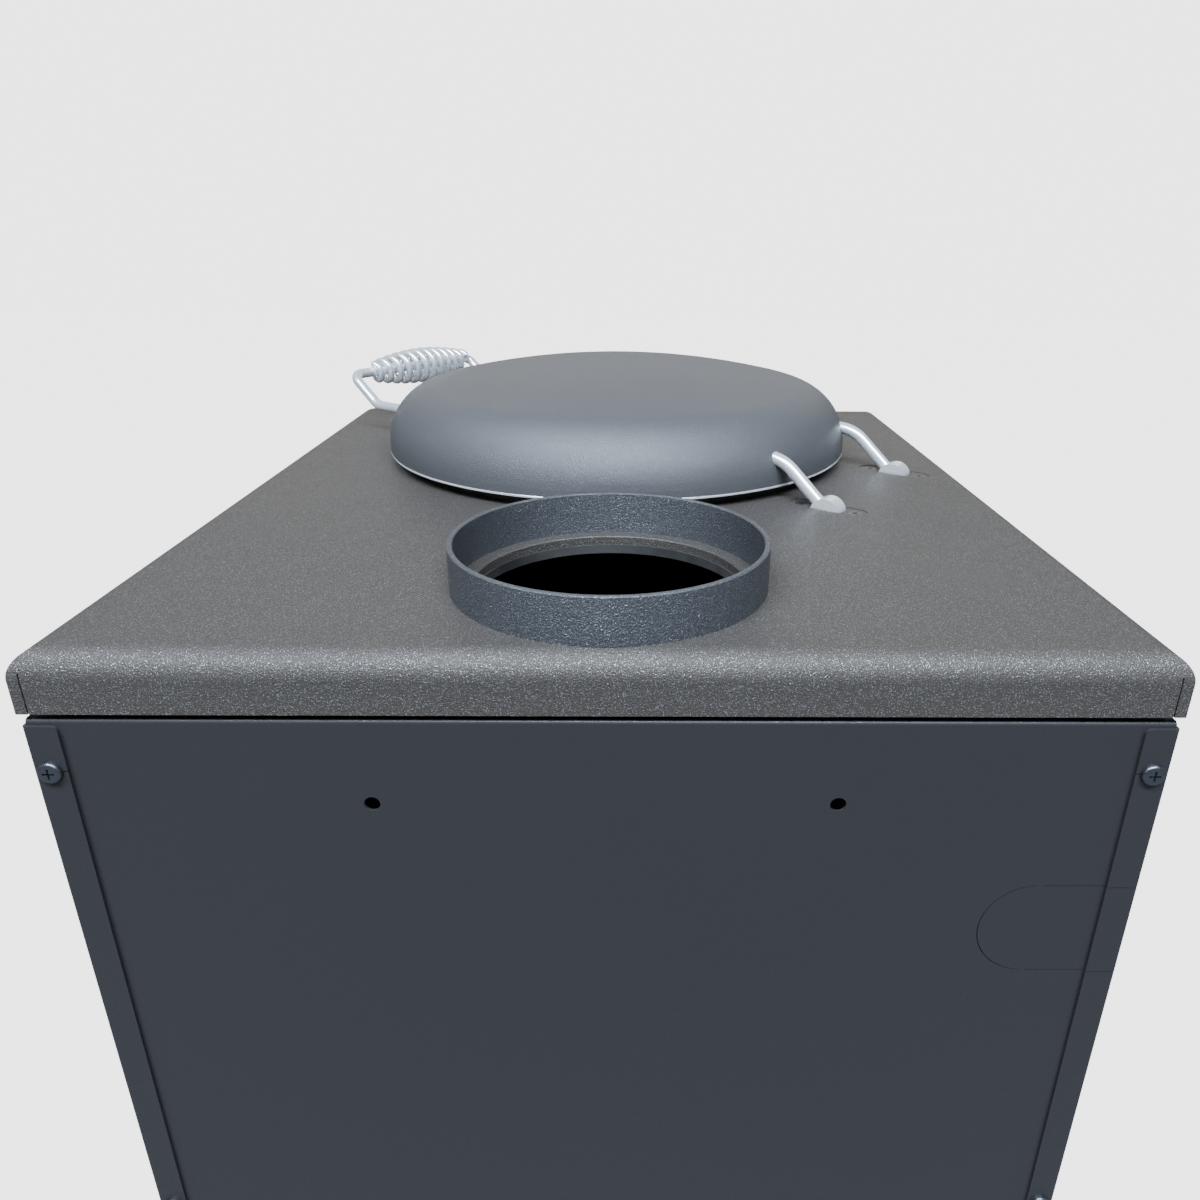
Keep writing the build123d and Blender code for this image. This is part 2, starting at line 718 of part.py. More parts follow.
back_half = casing_x - casing_sheet
back_panel_top = top_height - back_panel_drop
with BuildPart() as back_panel:
    sheet(back_half, (back_panel_y - casing_sheet, back_panel_y), (plinth_height, back_panel_top))
    lip_z = (back_panel_top - casing_sheet, back_panel_top)
    sheet(back_half, (back_panel_y - back_panel_lip, back_panel_y), lip_z)
    bend = back_panel.edges().filter_by(Axis.X).sort_by_distance((0, back_panel_y, back_panel_top))
    fillet(bend[0], radius=casing_bend_radius)
    with BuildSketch(Plane.XZ.offset(-back_panel_y)):
        with Locations(*[(side * screw_x, z) for side in (-1, 1) for z in screw_rows]):
            Circle(pan_shank_radius)
        with Locations(*[(side * wall_hole_spacing / 2, top_height - wall_hole_drop) for side in (-1, 1)]):
            Circle(wall_hole_radius)
        with Locations((-knockout_centre_x - knockout_height, knockout_z)):
            SlotCenterToCenter(2 * knockout_height, knockout_height + kerf)
            SlotCenterToCenter(2 * knockout_height, knockout_height - kerf, mode=Mode.SUBTRACT)
        with Locations((0, knockout_z)):
            with Locations(*tab_spots):
                Rectangle(kerf_tab, 2 * kerf, mode=Mode.SUBTRACT)
    extrude(amount=casing_sheet, mode=Mode.SUBTRACT)
back_panel.part.label = "back_panel"
export_step(back_panel.part, "parts/back_panel.step")

with BuildPart() as casing_screws:
    for side in (-1, 1):
        for z in screw_rows:
            with Locations(Plane(origin=(side * screw_x, rear_y, z), z_dir=(0, 1, 0))):
                add(pan_screw.part)
casing_screws.part.label = "casing_screws"
export_step(casing_screws.part, "parts/casing_screws.step")

# ---- Rear heat shield: a tray whose side returns meet the back panel ----
shield_y = rear_y - shield_rear_gap
back_inner_y = back_panel_y - casing_sheet
with BuildPart() as rear_heat_shield:
    shield_height = (shield_foot, shield_head)
    sheet(shield_width / 2, (shield_y - shield_sheet, shield_y), shield_height)
    for side in (-1, 1):
        edge = sorted((side * shield_width / 2, side * (shield_width / 2 - shield_sheet)))
        block(edge, (shield_y, back_inner_y), shield_height)
rear_heat_shield.part.label = "rear_heat_shield"
export_step(rear_heat_shield.part, "parts/rear_heat_shield.step")

# ---- Plinth and floor plate ----
plinth_half = casing_x - plinth_side_setback
plinth_y = (top_front_y + plinth_front_setback, rear_y - plinth_rear_setback)
with BuildPart() as plinth:
    sheet(plinth_half, plinth_y, (0, plinth_height))
    inner_y = (plinth_y[0] + plinth_sheet, plinth_y[1] - plinth_sheet)
    sheet(plinth_half - plinth_sheet, inner_y, (plinth_sheet, plinth_height), mode=Mode.SUBTRACT)
plinth.part.label = "plinth"
export_step(plinth.part, "parts/plinth.step")

with BuildPart() as floor_plate:
    sheet(back_half, (front_back_y + casing_sheet, back_inner_y), (plinth_height, cabinet_floor))
floor_plate.part.label = "floor_plate"
export_step(floor_plate.part, "parts/floor_plate.step")

# ---- Front plate: door opening, ash opening and air slots ----
front_half = casing_x - front_side_gap
front_screw_x = front_half - front_screw_inset / 2
air_slot_spots = [((step - (air_slots - 1) / 2) * air_slot_pitch, air_slide_z) for step in range(air_slots)]
with BuildPart() as front_plate:
    sheet(front_half, (front_face_y, front_back_y), (plinth_height, top_under))
    top_corners = front_plate.edges().filter_by(Axis.Y).group_by(Axis.Z)[-1]
    fillet(top_corners, radius=top_bend_radius - top_thickness + 1)
    with BuildSketch(Plane.XZ.offset(-front_back_y)):
        with Locations((0, (door_opening_foot + door_opening_head) / 2)):
            RectangleRounded(door_opening_width, door_opening_head - door_opening_foot, 12)
        with Locations((0, (cabinet_floor + firebox_wall + ash_opening_head) / 2)):
            Rectangle(ash_opening_width, ash_opening_head - cabinet_floor - firebox_wall)
        with Locations(*air_slot_spots):
            SlotOverall(air_slot_length, air_slot_height)
        with Locations(*[(side * front_screw_x, z) for side in (-1, 1) for z in front_rows]):
            Circle(pan_shank_radius)
    extrude(amount=front_sheet, mode=Mode.SUBTRACT)
front_plate.part.label = "front_plate"
export_step(front_plate.part, "parts/front_plate.step")

with BuildPart() as front_screws:
    for side in (-1, 1):
        for z in front_rows:
            with Locations(Plane(origin=(side * front_screw_x, front_face_y, z), z_dir=(0, -1, 0))):
                add(pan_screw.part)
front_screws.part.label = "front_screws"
export_step(front_screws.part, "parts/front_screws.step")

# ---- Firebox: a welded box with a shelf for the grate and a pit for the ash drawer ----
grate_y = (fire_rear_y + front_back_y) / 2
fire_y = (front_back_y, fire_rear_y)
with BuildPart() as firebox_shell:
    sheet(firebox_width / 2, (front_back_y, firebox_rear_y), (cabinet_floor, firebox_top))
    sheet(fire_x, fire_y, (cabinet_floor + firebox_wall, shelf_top - firebox_wall), mode=Mode.SUBTRACT)
    sheet(fire_x, fire_y, (shelf_top, firebox_top), mode=Mode.SUBTRACT)
    grate_hole_y = grate_depth / 2 - grate_ledge
    sheet(
        grate_width / 2 - grate_ledge,
        (grate_y - grate_hole_y, grate_y + grate_hole_y),
        (shelf_top - firebox_wall, shelf_top),
        mode=Mode.SUBTRACT,
    )
firebox_shell.part.label = "firebox_shell"
export_step(firebox_shell.part, "parts/firebox_shell.step")

smoke_half = smoke_box_width / 2
smoke_floor = (firebox_top, firebox_top + firebox_wall)
with BuildPart() as smoke_box:
    sheet(smoke_half, (front_back_y, smoke_box_rear_y), (firebox_top, top_under))
    sheet(
        smoke_half - firebox_wall,
        (front_back_y, smoke_box_rear_y - firebox_wall),
        (firebox_top + firebox_wall, top_under),
        mode=Mode.SUBTRACT,
    )
    sheet(firebox_width / 2, (front_back_y, firebox_rear_y), smoke_floor)
    sheet(
        smoke_half - firebox_wall,
        (front_back_y + firebox_wall, fire_rear_y - firebox_wall),
        smoke_floor,
        mode=Mode.SUBTRACT,
    )
smoke_box.part.label = "smoke_box"
export_step(smoke_box.part, "parts/smoke_box.step")

# ---- Fire bricks, hearth, baffle, grate and log guard ----
brick_z = (hearth_top, brick_top)
brick_rear = (fire_rear_y - brick_thickness, fire_rear_y)
brick_front_y = front_back_y + 2 * latch_clearance + latch_thickness
with BuildPart() as back_brick:
    sheet(fire_x, brick_rear, brick_z)
back_brick.part.label = "back_brick"
export_step(back_brick.part, "parts/back_brick.step")

for name, side in (("left", -1), ("right", 1)):
    with BuildPart() as side_brick:
        brick_x = sorted((side * fire_x, side * (fire_x - brick_thickness)))
        block(brick_x, (brick_front_y, brick_rear[0]), brick_z)
    side_brick.part.label = f"side_brick_{name}"
    export_step(side_brick.part, f"parts/side_brick_{name}.step")

grate_half = grate_width / 2 + 1
with BuildPart() as hearth_brick:
    sheet(fire_x, fire_y, (shelf_top, hearth_top))
    grate_span = (grate_y - grate_depth / 2 - 1, grate_y + grate_depth / 2 + 1)
    sheet(grate_half, grate_span, (shelf_top, hearth_top), mode=Mode.SUBTRACT)
hearth_brick.part.label = "hearth_brick"
export_step(hearth_brick.part, "parts/hearth_brick.step")

with BuildPart() as baffle_plate:
    sheet(
        fire_x - 1,
        (front_back_y + baffle_front_gap, fire_rear_y - 0.5),
        (brick_top, brick_top + baffle_thickness),
    )
baffle_plate.part.label = "baffle_plate"
export_step(baffle_plate.part, "parts/baffle_plate.step")

with BuildPart() as grate:
    sheet(
        grate_width / 2,
        (grate_y - grate_depth / 2, grate_y + grate_depth / 2),
        (shelf_top, shelf_top + grate_thickness),
    )
    bar_pitch = (grate_width - 2 * grate_ledge) / grate_bars
    with BuildSketch(Plane.XY.offset(shelf_top)):
        for step in range(grate_bars):
            with Locations(((step - (grate_bars - 1) / 2) * bar_pitch, grate_y)):
                SlotOverall(grate_depth - 4 * grate_ledge, grate_bar_gap, rotation=90)
    extrude(amount=grate_thickness, mode=Mode.SUBTRACT)
grate.part.label = "grate"
export_step(grate.part, "parts/grate.step")

guard_y = brick_front_y + log_guard_thickness
with BuildPart() as log_guard:
    sheet(
        fire_x - brick_thickness,
        (guard_y, guard_y + log_guard_thickness),
        (hearth_top, hearth_top + log_guard_height),
    )
    with BuildSketch(Plane.XZ.offset(-guard_y - log_guard_thickness)):
        with Locations((0, hearth_top + log_guard_height / 2)):
            with GridLocations(48, 1, 6, 1):
                SlotOverall(34, 11)
    extrude(amount=log_guard_thickness, mode=Mode.SUBTRACT)
log_guard.part.label = "log_guard"
export_step(log_guard.part, "parts/log_guard.step")

# ---- Ash drawer: a floor, two sides and a rear wall, closed in front by its front plate ----
ash_foot = cabinet_floor + firebox_wall + fit_clearance
ash_face_y = front_face_y - fit_clearance
ash_rear = ash_face_y + ash_depth
ash_wall_z = (ash_foot + ash_sheet, ash_foot + ash_height)
with BuildPart() as ash_drawer:
    sheet(ash_width / 2, (ash_face_y, ash_rear), (ash_foot, ash_foot + ash_sheet))
ash_drawer.part.label = "ash_drawer"
export_step(ash_drawer.part, "parts/ash_drawer.step")

with BuildPart() as ash_drawer_sides:
    for side in (-1, 1):
        side_x = sorted((side * ash_width / 2, side * (ash_width / 2 - ash_sheet)))
        block(side_x, (ash_face_y, ash_rear), ash_wall_z)
ash_drawer_sides.part.label = "ash_drawer_sides"
export_step(ash_drawer_sides.part, "parts/ash_drawer_sides.step")

with BuildPart() as ash_drawer_rear:
    sheet(ash_width / 2 - ash_sheet, (ash_rear - ash_sheet, ash_rear), ash_wall_z)
ash_drawer_rear.part.label = "ash_drawer_rear"
export_step(ash_drawer_rear.part, "parts/ash_drawer_rear.step")

ash_front_half = ash_opening_width / 2 + ash_front_overlap
ash_front_y = ash_face_y - ash_front_thickness
ash_front_z = (plinth_height + 2, ash_opening_head + ash_front_overlap)
with BuildPart() as ash_drawer_front:
    sheet(ash_front_half, (ash_front_y, ash_face_y), ash_front_z)
    fillet(ash_drawer_front.edges().filter_by(Axis.Y), radius=6)
    chamfer(ash_drawer_front.faces().sort_by(Axis.Y)[0].edges(), length=1)
ash_drawer_front.part.label = "ash_drawer_front"
export_step(ash_drawer_front.part, "parts/ash_drawer_front.step")


def pull_knob(origin, stem_length, radius):
    """A round knob on a stem that stands out towards -Y."""
    with BuildPart() as knob:
        with BuildSketch(Plane(origin=origin, x_dir=(1, 0, 0), z_dir=(0, -1, 0))):
            Circle(knob_stem_radius)
        extrude(amount=stem_length)
        with BuildSketch(Plane(origin=origin - Vector(0, stem_length, 0), x_dir=(1, 0, 0), z_dir=(0, -1, 0))):
            Circle(radius)
        extrude(amount=radius)
        fillet(knob.edges().filter_by(GeomType.CIRCLE).group_by(Axis.Y)[0], radius=radius * 0.35)
        fillet(knob.edges().filter_by(GeomType.CIRCLE).group_by(SortBy.RADIUS)[-1], radius=radius * 0.2)
    return knob.part


ash_knob_z = (ash_front_z[0] + ash_front_z[1]) / 2
with BuildPart() as ash_drawer_knob:
    add(pull_knob(Vector(0, ash_front_y, ash_knob_z), knob_stem_length, knob_radius))
ash_drawer_knob.part.label = "ash_drawer_knob"
export_step(ash_drawer_knob.part, "parts/ash_drawer_knob.step")

# ---- Air slide, its two guides and its knob ----
slide_y = (front_face_y - fit_clearance - air_slide_sheet, front_face_y - fit_clearance)
slide_half_z = air_slide_height / 2
with BuildPart() as air_slide:
    sheet(air_slide_width / 2, slide_y, (air_slide_z - slide_half_z, air_slide_z + slide_half_z))
    with BuildSketch(Plane.XZ.offset(-slide_y[1])):
        with Locations(*air_slot_spots):
            SlotOverall(air_slot_length, air_slot_height)
    extrude(amount=air_slide_sheet, mode=Mode.SUBTRACT)
air_slide.part.label = "air_slide"
export_step(air_slide.part, "parts/air_slide.step")

guide_front = slide_y[0] - fit_clearance - 1.5
with BuildPart() as air_slide_guides:
    for side in (-1, 1):
        near_z = air_slide_z + side * (slide_half_z + fit_clearance)
        lip_z = air_slide_z + side * (slide_half_z - air_guide_lip)
        far_z = near_z + side * 4
        sheet(air_guide_length / 2, (guide_front, front_face_y), sorted((near_z, far_z)))
        sheet(air_guide_length / 2, (guide_front, slide_y[0] - fit_clearance), sorted((lip_z, far_z)))
air_slide_guides.part.label = "air_slide_guides"
export_step(air_slide_guides.part, "parts/air_slide_guides.step")

with BuildPart() as air_slide_knob:
    knob_x = air_slot_pitch * (air_slots - 1) / 2 + air_slot_length
    add(pull_knob(Vector(knob_x, slide_y[0], air_slide_z), knob_stem_length, 0.8 * slide_half_z))
air_slide_knob.part.label = "air_slide_knob"
export_step(air_slide_knob.part, "parts/air_slide_knob.step")

# ---- Fire door: frame, rope, glass, clips, hinge and turning handle ----
rope_groove = 2 * door_rope_radius + 2 * fit_clearance
window_z = (window_foot + window_head) / 2
window_height = window_head - window_foot
groove_half = (door_opening_width + door_overlap) / 2
groove_height = door_opening_head - door_opening_foot + door_overlap
hinge_x = -door_width / 2 - door_hinge_offset
hinge_y = door_back_y - door_hinge_radius - 1
hinge_heights = (door_foot + door_hinge_inset, door_head - door_hinge_inset)
shaft_bore = handle_shaft_radius + running_clearance
clip_screw_x = window_width / 2 + glass_overlap + 2 * clip_screw_radius
clip_rise = window_height / 3
clip_screw_spots = [
    (side * clip_screw_x, window_z + rise * clip_rise) for side in (-1, 1) for rise in (-1, 1)
]

with BuildPart() as door_frame:
    sheet(door_width / 2, (door_front_y, door_back_y), (door_foot, door_head))
    fillet(door_frame.edges().filter_by(Axis.Y), radius=10)
    chamfer(door_frame.faces().sort_by(Axis.Y)[0].edges(), length=3)
    with BuildSketch(Plane.XZ.offset(-door_back_y)):
        with Locations((0, window_z)):
            RectangleRounded(window_width, window_height, 10)
    extrude(amount=door_thickness, mode=Mode.SUBTRACT)
    with BuildSketch(Plane.XZ.offset(-door_front_y)):
        with Locations((0, window_z)):
            Rectangle(window_width + 2 * window_bevel, window_height + 2 * window_bevel)
    extrude(amount=-window_bevel, taper=45, mode=Mode.SUBTRACT)
    with BuildSketch(Plane.XZ.offset(-door_back_y)):
        with Locations((0, window_z)):
            Rectangle(window_width + 2 * glass_overlap, window_height + 2 * glass_overlap)
    extrude(amount=glass_rebate, mode=Mode.SUBTRACT)
    with BuildSketch(Plane.XZ.offset(-door_back_y)):
        with Locations((0, door_z)):
            RectangleRounded(2 * groove_half + rope_groove, groove_height + rope_groove, 14)
            RectangleRounded(
                2 * groove_half - rope_groove, groove_height - rope_groove, 8, mode=Mode.SUBTRACT
            )
    extrude(amount=rope_groove - door_gap, mode=Mode.SUBTRACT)
    with BuildSketch(Plane.XZ.offset(-door_back_y)):
        with Locations((handle_x, handle_z)):
            Circle(shaft_bore)
    extrude(amount=door_thickness, mode=Mode.SUBTRACT)
    with BuildSketch(Plane.XZ.offset(-door_back_y)):
        with Locations(*clip_screw_spots):
            Circle(pan_shank_radius)
    extrude(amount=clip_screw_length - clip_sheet, mode=Mode.SUBTRACT)
    for z in hinge_heights:
        block(
            (hinge_x, -door_width / 2 + 2),
            (hinge_y - door_hinge_radius, hinge_y + door_hinge_radius - 1),
            (z + fit_clearance, z + door_hinge_barrel),
        )
        with BuildSketch(Plane.XY.offset(z + fit_clearance)):
            with Locations((hinge_x, hinge_y)):
                Circle(door_hinge_radius)
        extrude(amount=door_hinge_barrel - fit_clearance)
        with BuildSketch(Plane.XY.offset(z + fit_clearance)):
            with Locations((hinge_x, hinge_y)):
                Circle(door_pin_radius + running_clearance)
        extrude(amount=door_hinge_barrel - fit_clearance, mode=Mode.SUBTRACT)
door_frame.part.label = "door_frame"
export_step(door_frame.part, "parts/door_frame.step")

with BuildPart() as door_hinge_brackets:
    for z in hinge_heights:
        with BuildSketch(Plane.XY.offset(z - door_hinge_barrel)):
            with Locations((hinge_x, hinge_y)):
                Circle(door_hinge_radius)
        extrude(amount=door_hinge_barrel)
        block((hinge_x - 5, hinge_x + 5), (hinge_y, front_face_y), (z - door_hinge_barrel, z))
        block((hinge_x - 14, hinge_x + 10), (front_face_y - 3, front_face_y), (z - door_hinge_barrel - 14, z))
        with BuildSketch(Plane.XY.offset(z - door_hinge_barrel)):
            with Locations((hinge_x, hinge_y)):
                Circle(door_pin_radius)
        extrude(amount=door_hinge_barrel, mode=Mode.SUBTRACT)
door_hinge_brackets.part.label = "door_hinge_brackets"
export_step(door_hinge_brackets.part, "parts/door_hinge_brackets.step")

with BuildPart() as door_hinge_pins:
    for z in hinge_heights:
        with BuildSketch(Plane.XY.offset(z - door_hinge_barrel)):
            with Locations((hinge_x, hinge_y)):
                Circle(door_pin_radius)
        extrude(amount=2 * door_hinge_barrel)
        with BuildSketch(Plane.XY.offset(z + door_hinge_barrel + fit_clearance)):
            with Locations((hinge_x, hinge_y)):
                Circle(door_hinge_radius - 1)
                Circle(door_pin_radius, mode=Mode.SUBTRACT)
        extrude(amount=2)
        with BuildSketch(Plane.XY.offset(z + door_hinge_barrel)):
            with Locations((hinge_x, hinge_y)):
                Circle(door_pin_radius)
        extrude(amount=fit_clearance + 2)
door_hinge_pins.part.label = "door_hinge_pins"
export_step(door_hinge_pins.part, "parts/door_hinge_pins.step")

with BuildPart() as door_rope:
    with BuildSketch(Plane.XZ.offset(-front_face_y + fit_clearance)):
        with Locations((0, door_z)):
            RectangleRounded(
                2 * groove_half + 2 * door_rope_radius,
                groove_height + 2 * door_rope_radius,
                13.5,
            )
            RectangleRounded(
                2 * groove_half - 2 * door_rope_radius,
                groove_height - 2 * door_rope_radius,
                8.5,
                mode=Mode.SUBTRACT,
            )
    extrude(amount=2 * door_rope_radius - fit_clearance)
    chamfer(door_rope.faces().sort_by(Axis.Y)[-1].edges(), length=2)
door_rope.part.label = "door_rope"
export_step(door_rope.part, "parts/door_rope.step")

glass_front_y = door_back_y - glass_rebate + 1.5
glass_half = window_width / 2 + glass_overlap - 1
glass_half_z = window_height / 2 + glass_overlap - 1
with BuildPart() as door_glass:
    sheet(
        glass_half,
        (glass_front_y, glass_front_y + glass_thickness),
        (window_z - glass_half_z, window_z + glass_half_z),
    )
door_glass.part.label = "door_glass"
export_step(door_glass.part, "parts/door_glass.step")

with BuildPart() as glass_tape:
    with BuildSketch(Plane.XZ.offset(-glass_front_y + fit_clearance)):
        with Locations((0, window_z)):
            Rectangle(2 * glass_half, 2 * glass_half_z)
            Rectangle(2 * glass_half - 14, 2 * glass_half_z - 14, mode=Mode.SUBTRACT)
    extrude(amount=1.5 - 2 * fit_clearance)
glass_tape.part.label = "glass_tape"
export_step(glass_tape.part, "parts/glass_tape.step")

clip_back_y = door_back_y + clip_sheet
with BuildPart() as glass_clips:
    for x, z in clip_screw_spots:
        side = 1 if x > 0 else -1
        clip_x = sorted((x + side * clip_width / 3, x - side * clip_length))
        block(clip_x, (door_back_y, clip_back_y), (z - clip_width / 2, z + clip_width / 2))
    with BuildSketch(Plane.XZ.offset(-clip_back_y)):
        with Locations(*clip_screw_spots):
            Circle(pan_shank_radius)
    extrude(amount=clip_sheet, mode=Mode.SUBTRACT)
glass_clips.part.label = "glass_clips"
export_step(glass_clips.part, "parts/glass_clips.step")

with BuildPart() as glass_screws:
    for x, z in clip_screw_spots:
        with Locations(Plane(origin=(x, clip_back_y, z), z_dir=(0, 1, 0))):
            add(clip_screw.part)
glass_screws.part.label = "glass_screws"
export_step(glass_screws.part, "parts/glass_screws.step")

# ---- Turning handle: hub and shaft through the door, a cranked rod, a coiled grip, a latch ----
hub_back_y = door_front_y - fit_clearance
rod_front_y = door_front_y - handle_rod_standoff
latch_y = front_back_y + latch_clearance
with BuildPart() as door_handle:
    with BuildSketch(Plane(origin=(handle_x, hub_back_y, handle_z), x_dir=(1, 0, 0), z_dir=(0, -1, 0))):
        Circle(handle_hub_radius)
    extrude(amount=handle_hub_length)
    chamfer(door_handle.edges().group_by(Axis.Y)[0], length=1.5)
    with BuildSketch(Plane(origin=(handle_x, hub_back_y, handle_z), x_dir=(1, 0, 0), z_dir=(0, 1, 0))):
        Circle(handle_shaft_radius)
    extrude(amount=latch_y + latch_thickness - hub_back_y)
    with BuildLine() as lever_path:
        FilletPolyline(
            (handle_x, hub_back_y - handle_hub_length / 2, handle_z),
            (handle_x, rod_front_y, handle_z),
            (handle_x + handle_rod_length, rod_front_y, handle_z),
            radius=handle_rod_bend,
        )
    with BuildSketch(Plane(origin=lever_path.line @ 0, z_dir=lever_path.line % 0)):
        Circle(handle_rod_radius)
    sweep()
door_handle.part.label = "door_handle"
export_step(door_handle.part, "parts/door_handle.step")

grip_mid_x = handle_x + handle_rod_length - door_grip_coils * grip_pitch / 2
door_grip_place = Plane(origin=(grip_mid_x, rod_front_y, handle_z), x_dir=(1, 0, 0), z_dir=(0, 0, 1))
with BuildPart() as door_grip:
    add(coil_grip(door_grip_place, door_grip_coils, handle_rod_radius))
door_grip.part.label = "door_grip"
export_step(door_grip.part, "parts/door_grip.step")

with BuildPart() as door_latch:
    with BuildSketch(Plane.XZ.offset(-latch_y - latch_thickness)):
        with Locations((handle_x, handle_z + (latch_length - latch_width) / 2)):
            SlotOverall(latch_length, latch_width, rotation=90)
        with Locations((handle_x, handle_z)):
            Circle(handle_shaft_radius, mode=Mode.SUBTRACT)
    extrude(amount=latch_thickness)
door_latch.part.label = "door_latch"
export_step(door_latch.part, "parts/door_latch.step")
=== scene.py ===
import json
from math import cos, pi, sin

import bpy
from mathutils import Matrix, Vector

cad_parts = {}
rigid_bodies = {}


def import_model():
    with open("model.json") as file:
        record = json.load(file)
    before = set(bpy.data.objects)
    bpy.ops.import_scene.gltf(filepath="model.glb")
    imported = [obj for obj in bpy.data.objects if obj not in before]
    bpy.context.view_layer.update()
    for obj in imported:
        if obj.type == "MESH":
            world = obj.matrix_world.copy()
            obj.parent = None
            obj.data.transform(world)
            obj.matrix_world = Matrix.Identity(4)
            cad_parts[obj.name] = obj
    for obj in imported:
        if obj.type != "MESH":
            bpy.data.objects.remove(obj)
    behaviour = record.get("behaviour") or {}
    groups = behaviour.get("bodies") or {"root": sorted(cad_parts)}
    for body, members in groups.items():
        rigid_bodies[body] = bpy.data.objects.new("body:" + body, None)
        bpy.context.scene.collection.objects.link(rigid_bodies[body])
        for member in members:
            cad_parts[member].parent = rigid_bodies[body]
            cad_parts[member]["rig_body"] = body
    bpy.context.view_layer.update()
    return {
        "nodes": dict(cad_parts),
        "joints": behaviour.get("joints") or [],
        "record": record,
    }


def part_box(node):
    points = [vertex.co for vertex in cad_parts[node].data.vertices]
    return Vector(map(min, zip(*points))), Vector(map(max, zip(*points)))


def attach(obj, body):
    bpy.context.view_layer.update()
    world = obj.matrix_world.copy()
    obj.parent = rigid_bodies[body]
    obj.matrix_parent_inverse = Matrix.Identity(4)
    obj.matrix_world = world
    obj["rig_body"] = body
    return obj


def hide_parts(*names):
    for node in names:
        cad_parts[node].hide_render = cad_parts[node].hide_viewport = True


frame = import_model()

nodes = frame["nodes"]

# ---- Camera: behind the stove, looking down its top towards the front ----
SENSOR_WIDTH = 36
FOCAL_LENGTH = 27.171
SIDE_SHIFT = -0.03408333
PITCH, YAW, ROLL = 0.39323, 0.01235, 0.00906
CAMERA_X = -0.01059
CAMERA_BEHIND = 0.3371
CAMERA_ABOVE = 0.16556
NEAREST, FARTHEST = 0.02, 60

top_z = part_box("top_plate")[1].z
rear_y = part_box("top_plate")[1].y

camera_data = bpy.data.cameras.new("camera")
camera = bpy.data.objects.new("camera", camera_data)
bpy.context.scene.collection.objects.link(camera)
bpy.context.scene.camera = camera
camera_data.sensor_width = SENSOR_WIDTH
camera_data.lens = FOCAL_LENGTH
camera_data.shift_x = SIDE_SHIFT
camera_data.clip_start = NEAREST
camera_data.clip_end = FARTHEST
heading = Matrix.Rotation(pi - YAW, 4, "Z")
tilt = Matrix.Rotation(pi / 2 - PITCH, 4, "X")
lean = Matrix.Rotation(ROLL, 4, "Z")
stand = Matrix.Translation((CAMERA_X, rear_y + CAMERA_BEHIND, top_z + CAMERA_ABOVE))
camera.matrix_world = stand @ heading @ tilt @ lean


# ---- Material helpers ----
def material(name, color, metallic=0.0, roughness=0.5, **sockets):
    """A new material with the values set on its Principled shader's own sockets."""
    m = bpy.data.materials.new(name)
    m.use_nodes = True
    inputs = shader_of(m).inputs
    inputs["Base Color"].default_value = (*color, 1)
    inputs["Metallic"].default_value = metallic
    inputs["Roughness"].default_value = roughness
    for key, value in sockets.items():
        inputs[key.replace("_", " ")].default_value = value
    return m


def shader_of(m):
    """The material's Principled shader."""
    return m.node_tree.nodes["Principled BSDF"]


def new(m, kind, **values):
    """A node in the material's tree, with its properties and inputs set."""
    node = m.node_tree.nodes.new(kind)
    for key, value in values.items():
        if hasattr(node, key):
            setattr(node, key, value)
        else:
            node.inputs[key].default_value = value
    return node


def noise(m, scale, detail, stretch=(1, 1, 1)):
    """A noise texture in object space, in features per metre."""
    place = new(m, "ShaderNodeTexCoord")
    mapping = new(m, "ShaderNodeMapping", Scale=stretch)
    texture = new(m, "ShaderNodeTexNoise", Scale=scale, Detail=detail)
    m.node_tree.links.new(place.outputs["Object"], mapping.inputs["Vector"])
    m.node_tree.links.new(mapping.outputs["Vector"], texture.inputs["Vector"])
    return texture.outputs["Fac"]


def spread(m, source, low, high, out_low, out_high):
    """The source's range low..high carried to out_low..out_high, and held at its ends."""
    node = new(m, "ShaderNodeMapRange")
    node.inputs["From Min"].default_value = low
    node.inputs["From Max"].default_value = high
    node.inputs["To Min"].default_value = out_low
    node.inputs["To Max"].default_value = out_high
    m.node_tree.links.new(source, node.inputs["Value"])
    return node.outputs["Result"]


def tint(m, source, dark, light, low=0.35, high=0.65):
    """Base colour that goes from dark to light with the source."""
    ramp = new(m, "ShaderNodeValToRGB")
    first, last = ramp.color_ramp.elements
    first.position, last.position = low, high
    first.color, last.color = (*dark, 1), (*light, 1)
    m.node_tree.links.new(source, ramp.inputs["Fac"])
    m.node_tree.links.new(ramp.outputs["Color"], shader_of(m).inputs["Base Color"])


def shine(m, source, low, high):
    """Roughness that follows the source."""
    value = spread(m, source, 0.3, 0.7, low, high)
    m.node_tree.links.new(value, shader_of(m).inputs["Roughness"])


def bump(m, *layers):
    """Layers of (source, strength, distance) stacked as bump."""
    normal = None
    for source, strength, distance in layers:
        node = new(m, "ShaderNodeBump", Strength=strength, Distance=distance)
        m.node_tree.links.new(source, node.inputs["Height"])
        if normal:
            m.node_tree.links.new(normal, node.inputs["Normal"])
        normal = node.outputs["Normal"]
    m.node_tree.links.new(normal, shader_of(m).inputs["Normal"])


# ---- Sprayed metallic paints ----
GLITTER_FINENESS = 1.9
GLITTER_FROM, GLITTER_TO = 0.6, 0.7
GLITTER_METALLIC = 0.7
GLITTER_GLOSS = -0.16
GLITTER_HEIGHT = 0.0003
PEBBLE_HEIGHT = 0.0006
CLOUD_SCALE = 9.0


